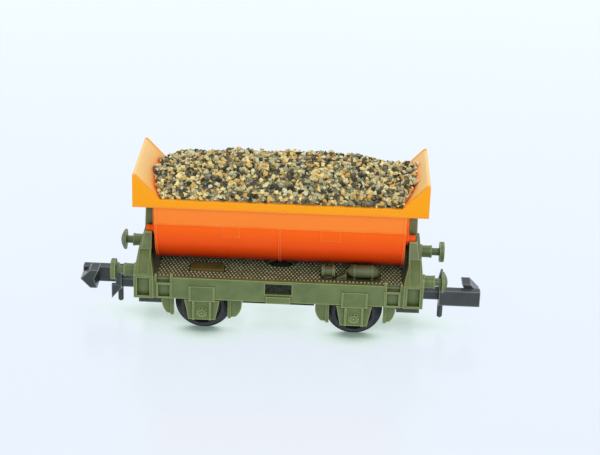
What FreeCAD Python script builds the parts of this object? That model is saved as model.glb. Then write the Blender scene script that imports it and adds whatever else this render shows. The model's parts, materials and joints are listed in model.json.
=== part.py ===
import FreeCAD, Part
import math
import os

# Two-axle side-tipping tub wagon for 9 mm gauge track (N scale, 1:160).
# X runs along the track, Y across it and Z up, with Z = 0 at the wheel flange bottoms.
# Side "front" is -Y and side "rear" is +Y; end "a" is -X and end "b" is +X.
# All sizes are in millimetres. Every end or side is drawn once, on the +X or +Y side.

V = FreeCAD.Vector
X_AXIS = V(1, 0, 0)
Y_AXIS = V(0, 1, 0)
Z_AXIS = V(0, 0, 1)
ORIGIN = V(0, 0, 0)

# Running gear
AXLE_X = 11.3
FLANGE_R = 4.3
TREAD_R = 3.3
AXLE_Z = FLANGE_R
WHEEL_BACK_Y = 3.7
FLANGE_W = 0.6
WHEEL_FACE_Y = 5.9
AXLE_R = 0.75
PIVOT_R = 0.4
PIVOT_GAP = 0.05
PIVOT_END_Y = 7.6

# Underframe
FRAME_X = 18.45
WEB_IN_Y = 7.35
WEB_OUT_Y = 7.95
SOLEBAR_Z = 6.45
DECK_Z = 9.83
DECK_T = 0.43
FLOOR_Z = 8.8
WELL_R = 2.7
WELL_HOLE_R = 1.9
WELL_Z = 9.05
WINDOW_X = 1.98
WINDOW_Z = (7.7, 9.4)
STEP_X = (15.65, 18.05)
STEP_Z = (6.44, 8.95)
STEP_Y = 8.05
STEP_RECESS = 0.5
NOTCH_X = (16.0, 18.0)
INNER_POST_Z = 10.4
OUTER_POST_Z = 10.2
LIP_HALF = 1.8
LIP_TOP_Z = 7.4

# Axle guards
PANEL_HALF = 1.95
PANEL_Z = (6.12, 8.56)
PANEL_Y = 8.15
PANEL_RIB_W = 0.24
PANEL_RIB_AT = 1.75
GUARD_IN_Y = 6.95
GUARD_FACE_Y = 7.6
GUARD_Z = 2.95
GUARD_HALF_LOW = 2.0
GUARD_HALF_TOP = 2.68
BOX_HALF = 1.42
BOX_Z = (3.05, 6.12)
BOX_Y = 7.98
BOSS_R = 0.6
BOSS_Y = 8.2
LID_RING = 0.22
BOLT_R = 0.15

# Brake blocks
BLOCK_Y = (4.6, 5.6)
BLOCK_IN_X = (5.5, 7.6)
BLOCK_IN_Z = 2.45
BLOCK_OUT_X = (15.7, 17.5)
BLOCK_OUT_Z = 2.7
BLOCK_TOP_Z = 6.2
HANGER_W = 0.5

# Ballast
BALLAST_X = 5.35
BALLAST_Y = 6.55
BALLAST_Z = 5.5
TAB_Z = 7.75

# End stands
STAND_OUT_X = 21.35
STAND_WEB_X = 20.3
STAND_Z = 6.5
STAND_TOP_Z = 18.9
STAND_UPPER_X = 19.1
FOOT_Y = 8.32
SEAT_Z = 15.1
FOOT_RECESS = 0.7
FOOT_RECESS_X = (19.0, 20.85)
FOOT_RECESS_Z = (6.85, 9.75)
LEG_LOW = (8.0, 10.3)
LEG_HIGH = (5.0, 12.9)
LEG_RECESS = 0.1
LEG_RECESS_X = (19.35, 20.75)

# Tub
PEG_Y = 3.3
PEG_Z = 15.63
PEG_R = 0.525
PEG_END_X = 19.94
TOOTH_GAP = 0.125
TUB_AXIS_Z = 17.35
TUB_R = 7.0
TUB_WALL = 0.7
TUB_END_X = 18.35
TUB_BOSS_X = 18.9
TUB_BOSS_Y = 4.4
RIDGE_Z = 17.95
PANEL_TUB_Y = 7.2
RIM_Z = (20.82, 22.0)
RIM_Y = 7.82
RIM_IN_Y = 7.1
CHUTE_X = 21.45
CHUTE_TOP_Z = 25.7
CHUTE_FOOT_X = 17.5
CHUTE_INNER_Z = 20.85
CHUTE_EDGE = 0.4
CHUTE_DROP = 1.01
END_FLANGE = 0.12
END_FLANGE_T = 0.35
SIDE_PLATE_X = ((-8.4, -5.9), (5.9, 8.9))
SIDE_PLATE_Z = 16.3
RIM_TAB_X = (-0.5, 0.7)
RIM_TAB_Z = (20.82, 21.15)

# Gravel heap: height of its crown along X, then the share of that height across Y
HEAP_STATIONS = (
    (0.0, 26.4),
    (8.0, 26.3),
    (14.0, 25.9),
    (18.0, 25.2),
    (20.2, 24.4),
)
HEAP_HALF_Y = 7.4
HEAP_SHARE = ((HEAP_HALF_Y, 0.0), (6.6, 0.5), (5.4, 0.8), (3.4, 0.96), (0.0, 1.0))
HEAP_BASE_Z = 10.0

# Deck fittings
FITTING_Y = 5.4
RESERVOIR_X = (10.04, 14.8)
RESERVOIR_R = 0.98
BAND_X = (11.15, 13.75)
BAND_W = 0.32
CYLINDER_X = (6.3, 8.25)
CYLINDER_R = 0.88
VALVE_X = (8.5, 9.95)
LOCKER_X = (8.3, 13.2)
LOCKER_Y = (2.9, 5.4)
LOCKER_H = 0.4

# Buffers
BUFFER_Y = 5.47
BUFFER_Z = 9.7
BUFFER_HEAD_R = 1.58
BUFFER_FACE_X = 25.0
SLEEVE_R = 0.92
SLEEVE_END_X = 23.1
PLUNGER_R = 0.58
FLAT_HEAD_T = 0.72
DOME_EDGE_T = 0.3
DOME_DEPTH = 0.58
DOME_STEPS = 5

# Coupler pocket and coupler
POCKET_X = 16.3
POCKET_Y = 3.2
POCKET_WALL = 0.5
POCKET_Z = (4.4, 6.5)
MOUTH_X = 20.5
MOUTH_Y = 1.4
COVER_T = 0.6
PAD_X = (17.7, 21.2)
PAD_Y = 3.6
PAD_Z = 3.5
SWING_X = 20.3
TAIL_X = 19.5
TAIL_Y = 1.9
TAIL_Z = (4.75, 5.6)
NECK_Z = 4.6
SHANK_X = 21.8
SHANK_TOP_Z = 5.95
SHANK_Y = 0.9
HEAD_X = 24.1
HEAD_BAR = 0.9
HEAD_Y = (-2.5, 1.5)
HEAD_Z = (4.4, 6.85)
ARM_Y = -1.1
ARM_END_X = 30.3
HOOK_TIP_X = 30.35
HOOK_TIP_Z = 5.93
HOOK_TOP_Z = 7.42
PIN_X = 24.5
PIN_Y = -0.6
PIN_R = 0.42
PIN_Z = 1.8
SPRING_X = (17.1, 19.45)
SPRING_R = 0.58
SPRING_WIRE_R = 0.12
SPRING_TURNS = 4


def box(x_span, y_span, z_span):
    size = [span[1] - span[0] for span in (x_span, y_span, z_span)]
    return Part.makeBox(size[0], size[1], size[2], V(x_span[0], y_span[0], z_span[0]))


def rod(axis, start, radius, length):
    return Part.makeCylinder(radius, length, start, axis)


def face_of(points):
    return Part.Face(Part.makePolygon(points + [points[0]]))


def side_prism(outline, y_span):
    """Solid with an outline in X and Z, from one Y to another."""
    points = [V(x, y_span[0], z) for x, z in outline]
    return face_of(points).extrude(V(0, y_span[1] - y_span[0], 0))


def cross_prism(outline, x_span):
    """Solid with an outline in Y and Z, from one X to another."""
    points = [V(x_span[0], y, z) for y, z in outline]
    return face_of(points).extrude(V(x_span[1] - x_span[0], 0, 0))


def plan_prism(outline, z_span):
    """Solid with an outline in X and Y, from one Z to another."""
    points = [V(x, y, z_span[0]) for x, y in outline]
    return face_of(points).extrude(V(0, 0, z_span[1] - z_span[0]))


def mirrored_outline(half):
    """Closed outline from its half on the positive side of the first axis."""
    return half + [(-a, b) for a, b in reversed(half)]


def lathe(outline, axis_dir, centre):
    """Solid turned from (along, radius) points about an axis through centre."""
    across = Z_AXIS
    points = [centre + axis_dir * along + across * radius for along, radius in outline]
    return face_of(points).revolve(centre, axis_dir, 360)


def join(shapes):
    result = shapes[0].fuse(shapes[1:]) if len(shapes) > 1 else shapes[0]
    return result.removeSplitter()


def flip_x(shape):
    return shape.mirror(ORIGIN, X_AXIS)


def flip_y(shape):
    return shape.mirror(ORIGIN, Y_AXIS)


def half_turn(shape):
    turned = shape.copy()
    turned.rotate(ORIGIN, Z_AXIS, 180)
    return turned


# ---- Running gear ---------------------------------------------------------------------


def make_wheel():
    """Wheel on the +Y side of an axle at X = 0: flange, coned tread and dished face."""
    flange_y = WHEEL_BACK_Y + FLANGE_W
    outline = [
        (WHEEL_BACK_Y, AXLE_R),
        (WHEEL_BACK_Y, FLANGE_R - 0.2),
        (WHEEL_BACK_Y + 0.15, FLANGE_R),
        (flange_y - 0.25, FLANGE_R),
        (flange_y, TREAD_R + 0.1),
        (flange_y + 0.15, TREAD_R),
        (WHEEL_FACE_Y - 0.1, TREAD_R - 0.05),
        (WHEEL_FACE_Y, TREAD_R - 0.15),
        (WHEEL_FACE_Y, TREAD_R - 0.55),
        (WHEEL_FACE_Y - 0.45, TREAD_R - 0.75),
        (WHEEL_FACE_Y - 0.3, 1.3),
        (WHEEL_FACE_Y + 0.05, 1.15),
        (WHEEL_FACE_Y + 0.05, AXLE_R),
    ]
    return lathe(outline, Y_AXIS, V(0, 0, AXLE_Z))


def make_axle():
    """Axle at X = 0 with a turned-down pivot and a point at both ends."""
    half = [
        (0, AXLE_R),
        (WHEEL_FACE_Y + 0.25, AXLE_R),
        (WHEEL_FACE_Y + 0.45, PIVOT_R),
        (PIVOT_END_Y - 0.3, PIVOT_R),
        (PIVOT_END_Y, 0.08),
        (PIVOT_END_Y, 0),
    ]
    outline = [(-y, r) for y, r in reversed(half)] + half[1:]
    return lathe(outline, Y_AXIS, V(0, 0, AXLE_Z))


def make_axle_guard():
    """Guard plate, axle box and bearing for the +Y side, at X = 0."""
    half_top = GUARD_HALF_TOP
    half_low = GUARD_HALF_LOW
    plate_half = [(half_low, GUARD_Z), (half_top, SOLEBAR_Z), (half_top, FLOOR_Z)]
    plate = side_prism(mirrored_outline(plate_half), (GUARD_IN_Y, WEB_IN_Y))
    apron_half = [(half_low, GUARD_Z), (half_top - 0.06, PANEL_Z[0])]
    apron = side_prism(mirrored_outline(apron_half), (WEB_IN_Y, GUARD_FACE_Y))
    axle_box = box((-BOX_HALF, BOX_HALF), (WEB_IN_Y, BOX_Y - 0.14), BOX_Z)
    pieces = [plate, apron, axle_box]
    for side in (-1, 1):
        edge = sorted((side * BOX_HALF, side * (BOX_HALF - 0.35)))
        pieces.append(box(edge, (WEB_IN_Y, BOX_Y), BOX_Z))
        bolt_at = V(side * (BOX_HALF - 0.2), BOX_Y - 0.2, BOX_Z[1] - 0.28)
        pieces.append(rod(Y_AXIS, bolt_at, BOLT_R, 2 * BOLT_R))
    boss_at = V(0, WEB_IN_Y, AXLE_Z)
    pieces.append(rod(Y_AXIS, boss_at, BOSS_R + LID_RING, BOX_Y - 0.04 - WEB_IN_Y))
    pieces.append(rod(Y_AXIS, boss_at, BOSS_R, BOSS_Y - WEB_IN_Y))
    bearing_r = PIVOT_R + PIVOT_GAP
    bearing = lathe(
        [
            (GUARD_IN_Y - 0.1, 0),
            (GUARD_IN_Y - 0.1, bearing_r),
            (PIVOT_END_Y - 0.25, bearing_r),
            (PIVOT_END_Y + 0.06, 0.12),
            (PIVOT_END_Y + 0.06, 0),
        ],
        Y_AXIS,
        V(0, 0, AXLE_Z),
    )
    return join(pieces).cut(bearing)


def make_brake_block(x_span, low_z, wheel_side):
    """Brake block and its hanger on the +Y side; wheel_side is -1 or 1 along X."""
    near = x_span[1] if wheel_side > 0 else x_span[0]
    far = x_span[0] if wheel_side > 0 else x_span[1]
    width = abs(near - far)
    root = near - wheel_side * HANGER_W * 0.7
    y_low, y_high = BLOCK_Y

    def spot(x, z):
        return V(x, y_low, z)

    heel = spot(far + wheel_side * 0.1, BLOCK_TOP_Z)
    cheek = spot(far, low_z + 2.0)
    bend = spot(far + wheel_side * 0.16 * width, low_z + 0.8)
    toe = spot(far + wheel_side * 0.42 * width, low_z + 0.1)
    edges = [
        Part.makeLine(spot(root, BLOCK_TOP_Z), heel),
        Part.makeLine(heel, cheek),
        Part.Arc(cheek, bend, toe).toShape(),
        Part.makeLine(toe, spot(root, low_z)),
        Part.makeLine(spot(root, low_z), spot(root, BLOCK_TOP_Z)),
    ]
    block = Part.Face(Part.Wire(edges)).extrude(V(0, y_high - y_low - 0.15, 0))
    strip = sorted((near, near - wheel_side * HANGER_W))
    hanger = box(strip, (y_low + 0.2, y_high), (low_z - 0.15, FLOOR_Z))
    return join([block, hanger])


# ---- Underframe -----------------------------------------------------------------------


def make_side_frame():
    """Solebar of the +Y side with its window, guard panels and end step boxes."""
    web = box((-FRAME_X, FRAME_X), (WEB_IN_Y, WEB_OUT_Y), (SOLEBAR_Z, DECK_Z))
    web = web.cut(box((-WINDOW_X, WINDOW_X), (WEB_IN_Y, WEB_OUT_Y), WINDOW_Z))
    lip_y = (WEB_OUT_Y - 0.2, WEB_OUT_Y + 0.25)
    pieces = [box((-LIP_HALF, LIP_HALF), lip_y, (SOLEBAR_Z - 0.1, LIP_TOP_Z))]
    recesses = []
    for side in (-1, 1):
        centre = side * AXLE_X
        panel = box(
            (centre - PANEL_HALF, centre + PANEL_HALF), (WEB_IN_Y, PANEL_Y - 0.08), PANEL_Z
        )
        pieces.append(panel)
        for rib in (centre - PANEL_RIB_AT, centre + PANEL_RIB_AT):
            rib_x = (rib - PANEL_RIB_W / 2, rib + PANEL_RIB_W / 2)
            pieces.append(box(rib_x, (WEB_IN_Y, PANEL_Y), PANEL_Z))
        step_x = sorted((side * STEP_X[0], side * STEP_X[1]))
        pieces.append(box(step_x, (WEB_IN_Y, STEP_Y), STEP_Z))
        recess_x = sorted((side * (STEP_X[0] + 0.38), side * (STEP_X[1] - 0.3)))
        recess_z = (STEP_Z[0] + 0.27, STEP_Z[1] - 0.3)
        recesses.append(box(recess_x, (STEP_Y - STEP_RECESS, STEP_Y + 0.1), recess_z))
        notch_x = sorted((side * NOTCH_X[0], side * NOTCH_X[1]))
        notch_y = (WEB_IN_Y, STEP_Y + 0.1)
        web = web.cut(box(notch_x, notch_y, (STEP_Z[1], DECK_Z + 0.1)))
        post_y = (WEB_IN_Y + 0.1, WEB_OUT_Y)
        inner_x = sorted((side * (NOTCH_X[0] - 0.4), side * NOTCH_X[0]))
        pieces.append(box(inner_x, post_y, (DECK_Z - 0.5, INNER_POST_Z)))
        outer_x = sorted((side * NOTCH_X[1], side * (NOTCH_X[1] + 0.3)))
        pieces.append(box(outer_x, post_y, (DECK_Z - 0.5, OUTER_POST_Z)))
    frame = join([web] + pieces)
    for recess in recesses:
        frame = frame.cut(recess)
    return frame


def make_floor_pan():
    """Floor between the solebars, with the central well and two ballast notches."""
    floor = box(
        (-STAND_WEB_X, STAND_WEB_X), (-WEB_IN_Y, WEB_IN_Y), (FLOOR_Z, DECK_Z - DECK_T)
    )
    well = rod(Z_AXIS, V(0, 0, WELL_Z), WELL_R, DECK_Z)
    hole = rod(Z_AXIS, V(0, 0, FLOOR_Z - 0.1), WELL_HOLE_R, DECK_Z)
    floor = floor.cut(well).cut(hole)
    for side in (-1, 1):
        notch_y = sorted((side * BALLAST_Y, side * (WEB_IN_Y + 0.1)))
        floor = floor.cut(box((-WINDOW_X, WINDOW_X), notch_y, (FLOOR_Z - 0.1, WINDOW_Z[1])))
    return floor


def make_deck_plate():
    """Tread plate on the floor, open over the well."""
    deck = box((-STAND_WEB_X, STAND_WEB_X), (-WEB_IN_Y, WEB_IN_Y), (DECK_Z - DECK_T, DECK_Z))
    return deck.cut(rod(Z_AXIS, V(0, 0, DECK_Z - 1), WELL_R, 2))


def make_ballast():
    """Weight under the floor, with a tab showing in each solebar window."""
    block = box((-BALLAST_X, BALLAST_X), (-BALLAST_Y, BALLAST_Y), (BALLAST_Z, FLOOR_Z))
    tab_z = (WINDOW_Z[0] + 0.05, WINDOW_Z[1] - 0.05)
    tab_y = WEB_IN_Y + 0.15
    tab_x = (0.05 - WINDOW_X, WINDOW_X - 0.05)
    tabs = []
    for side in (-1, 1):
        root_y = sorted((side * (BALLAST_Y - 0.3), side * BALLAST_Y))
        tabs.append(box(tab_x, root_y, (TAB_Z, FLOOR_Z)))
        tabs.append(box(tab_x, sorted((side * BALLAST_Y, side * tab_y)), tab_z))
    return join([block] + tabs)


# ---- End stands -----------------------------------------------------------------------


def make_tooth():
    """Upright tooth between the two peg seats; each side is an arc about the far peg."""
    reach = 2 * PEG_Y - PEG_R - TOOTH_GAP
    x = STAND_UPPER_X

    def arc_point(z):
        return math.sqrt(reach**2 - (z - PEG_Z) ** 2) - PEG_Y

    foot_z = SEAT_Z - 0.4
    middle_z = (foot_z + STAND_TOP_Z) / 2
    right = [V(x, arc_point(z), z) for z in (foot_z, middle_z, STAND_TOP_Z)]
    left = [V(x, -point.y, point.z) for point in reversed(right)]
    edges = [
        Part.Arc(*right).toShape(),
        Part.makeLine(right[-1], left[0]),
        Part.Arc(*left).toShape(),
        Part.makeLine(left[-1], right[0]),
    ]
    return Part.Face(Part.Wire(edges)).extrude(V(2, 0, 0))


def make_end_stand():
    """Headstock and tub stand of the +X end: foot boxes, sloped legs and peg seats."""
    across = mirrored_outline(
        [
            (FOOT_Y, STAND_Z),
            (FOOT_Y, 10.1),
            LEG_LOW,
            LEG_HIGH,
            (4.8, 13.2),
            (3.98, SEAT_Z),
        ]
    )
    along = [
        (STAND_OUT_X, STAND_Z),
        (STAND_OUT_X, 10.2),
        (21.0, 12.9),
        (20.6, 13.05),
        (20.25, SEAT_Z),
        (20.2, STAND_TOP_Z),
        (STAND_UPPER_X, STAND_TOP_Z),
        (STAND_UPPER_X, 12.2),
        (18.5, 10.3),
        (FRAME_X, STAND_Z),
    ]
    reach_x = (FRAME_X - 0.5, STAND_OUT_X + 0.5)
    body = join([cross_prism(across, reach_x), make_tooth()])
    for side in (-1, 1):
        lip_y = sorted((side * 3.88, side * 4.02))
        body = body.fuse(box((STAND_UPPER_X, 20.2), lip_y, (SEAT_Z - 0.5, SEAT_Z + 0.3)))
    stand = body.common(side_prism(along, (-FOOT_Y - 1, FOOT_Y + 1)))
    inner = WEB_IN_Y
    pocket = mirrored_outline([(inner, 7.0), (inner, 9.9), (4.3, 12.4)])
    stand = stand.cut(cross_prism(pocket, (FRAME_X - 1, STAND_WEB_X)))
    for side in (-1, 1):
        recess_y = sorted((side * (FOOT_Y - FOOT_RECESS), side * (FOOT_Y + 0.1)))
        stand = stand.cut(box(FOOT_RECESS_X, recess_y, FOOT_RECESS_Z))
        slope = [(side * y, z) for y, z in (LEG_LOW, LEG_HIGH)]
        strip = [
            slope[0],
            slope[1],
            (slope[1][0] + side * 0.6, slope[1][1] + 0.6),
            (slope[0][0] + side * 0.6, slope[0][1] + 0.6),
        ]
        lowered = [(y - side * LEG_RECESS * 0.65, z - LEG_RECESS * 0.75) for y, z in strip]
        stand = stand.cut(cross_prism(lowered, LEG_RECESS_X))
        seat = rod(X_AXIS, V(STAND_UPPER_X - 0.2, side * PEG_Y, PEG_Z), PEG_R + 0.04, 3)
        stand = stand.cut(seat)
    return stand.removeSplitter()


# ---- Tub and load ---------------------------------------------------------------------


def barrel_face(x, radius, half_width, top_z):
    """Rounded trough section: an arc below RIDGE_Z and straight sides up to top_z."""
    ridge_y = math.sqrt(radius**2 - (RIDGE_Z - TUB_AXIS_Z) ** 2)
    start = V(x, -ridge_y, RIDGE_Z)
    end = V(x, ridge_y, RIDGE_Z)
    low = V(x, 0, TUB_AXIS_Z - radius)
    upper = [V(x, half_width, RIDGE_Z), V(x, half_width, top_z)]
    upper += [V(x, -half_width, top_z), V(x, -half_width, RIDGE_Z)]
    corners = [end] + upper + [start]
    edges = [Part.Arc(start, low, end).toShape()]
    for first, second in zip(corners, corners[1:]):
        if first.distanceToPoint(second) > 1e-6:
            edges.append(Part.makeLine(first, second))
    return Part.Face(Part.Wire(edges))


def barrel(x_half, radius, half_width, top_z):
    return barrel_face(-x_half, radius, half_width, top_z).extrude(V(2 * x_half, 0, 0))


def chute_run():
    """Rise of the sloped end walls per unit of X."""
    return (CHUTE_TOP_Z - RIM_Z[1]) / (CHUTE_X - CHUTE_EDGE - CHUTE_FOOT_X)


def chute_inner_x():
    """Lower end of the sloped end walls, inside the tub."""
    return CHUTE_FOOT_X - (RIM_Z[1] - CHUTE_INNER_Z) / chute_run()


def chute_outline():
    """Both sloped end walls as one outline in X and Z, open between their top edges."""
    return mirrored_outline(
        [(chute_inner_x(), CHUTE_INNER_Z), (CHUTE_X - CHUTE_EDGE, CHUTE_TOP_Z)]
    )


def tub_cavity():
    """Everything inside the tub walls, up to the tops of the end walls."""
    trough = barrel(chute_inner_x(), TUB_R - TUB_WALL, TUB_R - TUB_WALL, CHUTE_INNER_Z + 0.1)
    chute = side_prism(chute_outline(), (-RIM_IN_Y, RIM_IN_Y))
    return join([trough, chute])


def make_tub():
    """Rounded trough with stepped sides, a wide rim and sloped discharge ends."""
    trough = barrel(TUB_END_X, TUB_R, PANEL_TUB_Y, RIM_Z[0])
    rim = box((-CHUTE_X, CHUTE_X), (-RIM_Y, RIM_Y), RIM_Z)
    ends = side_prism(
        mirrored_outline([(CHUTE_X, RIM_Z[1] - 0.2), (CHUTE_X, CHUTE_TOP_Z)]), (-RIM_Y, RIM_Y)
    )
    opening = side_prism(chute_outline(), (-RIM_Y - 1, RIM_Y + 1))
    pieces = [trough, rim, ends.cut(opening)]
    for side in (-1, 1):
        plate = barrel_face(side * TUB_END_X, TUB_R + END_FLANGE, PANEL_TUB_Y + 0.12, RIM_Z[0])
        pieces.append(plate.extrude(V(-side * END_FLANGE_T, 0, 0)))
        boss_x = sorted((side * TUB_END_X, side * TUB_BOSS_X))
        boss = [(TUB_BOSS_Y, RIM_Z[0]), (TUB_BOSS_Y, PEG_Z), (PEG_Y, PEG_Z - 1.1)]
        pieces.append(cross_prism(mirrored_outline(boss), boss_x))
        for peg_side in (-1, 1):
            peg_at = V(side * TUB_END_X, peg_side * PEG_Y, PEG_Z)
            peg_dir = X_AXIS * side
            pieces.append(rod(peg_dir, peg_at, PEG_R, PEG_END_X - TUB_END_X))
        tab_y = sorted((side * TUB_R, side * (RIM_Y + 0.08)))
        pieces.append(box(RIM_TAB_X, tab_y, RIM_TAB_Z))
        for plate_x in SIDE_PLATE_X:
            plate_y = sorted((side * (TUB_R - 1), side * (TUB_R + 0.08)))
            pieces.append(box(plate_x, plate_y, (SIDE_PLATE_Z, RIDGE_Z)))
    rib = barrel(0.2, TUB_R + 0.15, TUB_R, RIDGE_Z + 0.2)
    tub = join(pieces + [rib]).cut(tub_cavity())
    inner_z = RIM_Z[1] + chute_run() * (TUB_BOSS_X - CHUTE_FOOT_X) - CHUTE_DROP
    outer_z = RIM_Z[1] + chute_run() * (CHUTE_X - CHUTE_FOOT_X) - CHUTE_DROP
    for side in (-1, 1):
        hollow = [
            (side * TUB_BOSS_X, RIM_Z[0] - 0.1),
            (side * TUB_BOSS_X, inner_z),
            (side * (CHUTE_X + 0.1), outer_z + 0.1),
            (side * (CHUTE_X + 0.1), RIM_Z[0] - 0.1),
        ]
        tub = tub.cut(side_prism(hollow, (-RIM_IN_Y, RIM_IN_Y)))
    return tub.removeSplitter()


def make_gravel():
    """Heaped load that fills the tub: lofted crown cut to the inside of the walls."""
    edge_z = RIM_Z[1] - 0.1
    stations = [(-x, z) for x, z in reversed(HEAP_STATIONS[1:])] + list(HEAP_STATIONS)
    wires = []
    for x, crown_z in stations:
        half = [(y, edge_z + share * (crown_z - edge_z)) for y, share in HEAP_SHARE]
        outline = [(HEAP_HALF_Y, HEAP_BASE_Z)] + half
        outline += [(-y, z) for y, z in reversed(outline[:-1])]
        points = [V(x, y, z) for y, z in outline]
        wires.append(Part.makePolygon(points + [points[0]]))
    heap = Part.makeLoft(wires, True, True)
    top_x = CHUTE_X - CHUTE_EDGE
    above = box((-top_x, top_x), (-RIM_IN_Y, RIM_IN_Y), (CHUTE_TOP_Z, CHUTE_TOP_Z + 2))
    return heap.common(join([tub_cavity(), above])).removeSplitter()


# ---- Deck fittings --------------------------------------------------------------------


def make_reservoir():
    """Air reservoir lying on the deck, with tapered ends and two bands."""
    low, high = RESERVOIR_X
    r = RESERVOIR_R
    axis_z = DECK_Z + r + 0.08
    outline = [(low, 0), (low, 0.4 * r), (low + 0.3, 0.66 * r), (low + 1.0, r)]
    outline += [(high - 0.85, r), (high - 0.25, 0.7 * r), (high, 0.4 * r), (high, 0)]
    tank = lathe(outline, X_AXIS, V(0, -FITTING_Y, axis_z))
    pieces = [tank]
    cradle_y = (-FITTING_Y - 0.55, -FITTING_Y + 0.55)
    for band_x in BAND_X:
        start_x = band_x - BAND_W / 2
        pieces.append(rod(X_AXIS, V(start_x, -FITTING_Y, axis_z), r + 0.08, BAND_W))
        pieces.append(box((start_x, start_x + BAND_W), cradle_y, (DECK_Z, axis_z)))
    return join(pieces)


def make_brake_cylinder():
    """Short brake cylinder with a band at both ends, on the deck."""
    low, high = CYLINDER_X
    axis_z = DECK_Z + CYLINDER_R + 0.06
    start = V(low, -FITTING_Y, axis_z)
    pieces = [rod(X_AXIS, start, CYLINDER_R - 0.12, high - low)]
    for band_x in (low, high - 0.4):
        pieces.append(rod(X_AXIS, V(band_x, -FITTING_Y, axis_z), CYLINDER_R + 0.06, 0.4))
    foot_y = (-FITTING_Y - 0.4, -FITTING_Y + 0.4)
    pieces.append(box((low + 0.4, high - 0.4), foot_y, (DECK_Z, axis_z)))
    return join(pieces)


def make_valve():
    """Low sloped valve body beside the reservoir."""
    low, high = VALVE_X
    outline = [(low, DECK_Z), (low + 0.1, DECK_Z + 0.3), (low + 0.75, DECK_Z + 0.55)]
    outline += [(high, DECK_Z + 1.0), (high, DECK_Z)]
    return side_prism(outline, (-FITTING_Y - 0.9, -FITTING_Y + 0.1))


def make_locker():
    """Low flat box on the deck of the -X half."""
    low_y, high_y = -LOCKER_Y[1], -LOCKER_Y[0]
    return box((-LOCKER_X[1], -LOCKER_X[0]), (low_y, high_y), (DECK_Z, DECK_Z + LOCKER_H))


# ---- Buffers --------------------------------------------------------------------------


def make_buffer(domed):
    """Buffer of the +X end, at Y = 0, with a flat or a domed head."""
    stem = [
        (STAND_OUT_X, 0),
        (STAND_OUT_X, SLEEVE_R + 0.15),
        (STAND_OUT_X + 0.25, SLEEVE_R + 0.15),
        (STAND_OUT_X + 0.25, SLEEVE_R),
        (SLEEVE_END_X - 0.3, SLEEVE_R),
        (SLEEVE_END_X - 0.3, SLEEVE_R + 0.06),
        (SLEEVE_END_X, SLEEVE_R + 0.06),
        (SLEEVE_END_X, PLUNGER_R),
    ]
    face = BUFFER_FACE_X
    if domed:
        edge_x = face - DOME_DEPTH
        head = [(edge_x - DOME_EDGE_T, PLUNGER_R), (edge_x - DOME_EDGE_T, BUFFER_HEAD_R)]
        for step in range(DOME_STEPS + 1):
            share = 1 - step / DOME_STEPS
            head.append((face - DOME_DEPTH * share**2, BUFFER_HEAD_R * share))
    else:
        back = face - FLAT_HEAD_T
        head = [(back, PLUNGER_R), (back, BUFFER_HEAD_R), (face - 0.08, BUFFER_HEAD_R)]
        head += [(face, BUFFER_HEAD_R - 0.08), (face, 0)]
    return lathe(stem + head, X_AXIS, V(0, 0, BUFFER_Z))


# ---- Coupler --------------------------------------------------------------------------


def make_coupler_pocket():
    """Box under the +X headstock, open below and with a narrow mouth at its outer end."""
    shell = box((POCKET_X, STAND_OUT_X), (-POCKET_Y, POCKET_Y), POCKET_Z)
    inside_y = POCKET_Y - POCKET_WALL
    cavity_z = (POCKET_Z[0] - 0.1, POCKET_Z[1] - 0.4)
    cavity = box((POCKET_X + POCKET_WALL, MOUTH_X), (-inside_y, inside_y), cavity_z)
    mouth = box((MOUTH_X - 0.1, STAND_OUT_X + 0.1), (-MOUTH_Y, MOUTH_Y), cavity_z)
    return shell.cut(cavity).cut(mouth)


def make_pocket_cover():
    """Plate that closes the pocket from below."""
    cover_z = (POCKET_Z[0] - COVER_T, POCKET_Z[0])
    plate = box((POCKET_X + 0.4, STAND_OUT_X - 0.15), (-POCKET_Y, POCKET_Y), cover_z)
    pad = box(PAD_X, (-PAD_Y, PAD_Y), (PAD_Z, cover_z[1]))
    return join([plate, pad])


def make_coupler_spring():
    """Coil spring that presses the coupler tail against the pocket mouth."""
    low, high = SPRING_X
    pitch = (high - low - 2 * SPRING_WIRE_R) / SPRING_TURNS
    height = pitch * SPRING_TURNS
    path = Part.makeHelix(pitch, height, SPRING_R)
    section = Part.Wire(Part.makeCircle(SPRING_WIRE_R, V(SPRING_R, 0, 0), Y_AXIS))
    coil = Part.Wire(path).makePipeShell([section], True, True)
    coil.rotate(ORIGIN, Y_AXIS, 90)
    axis_z = (HEAD_Z[0] + 0.3 + TAIL_Z[1]) / 2
    coil.translate(V(low + SPRING_WIRE_R, 0, axis_z))
    return coil


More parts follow.
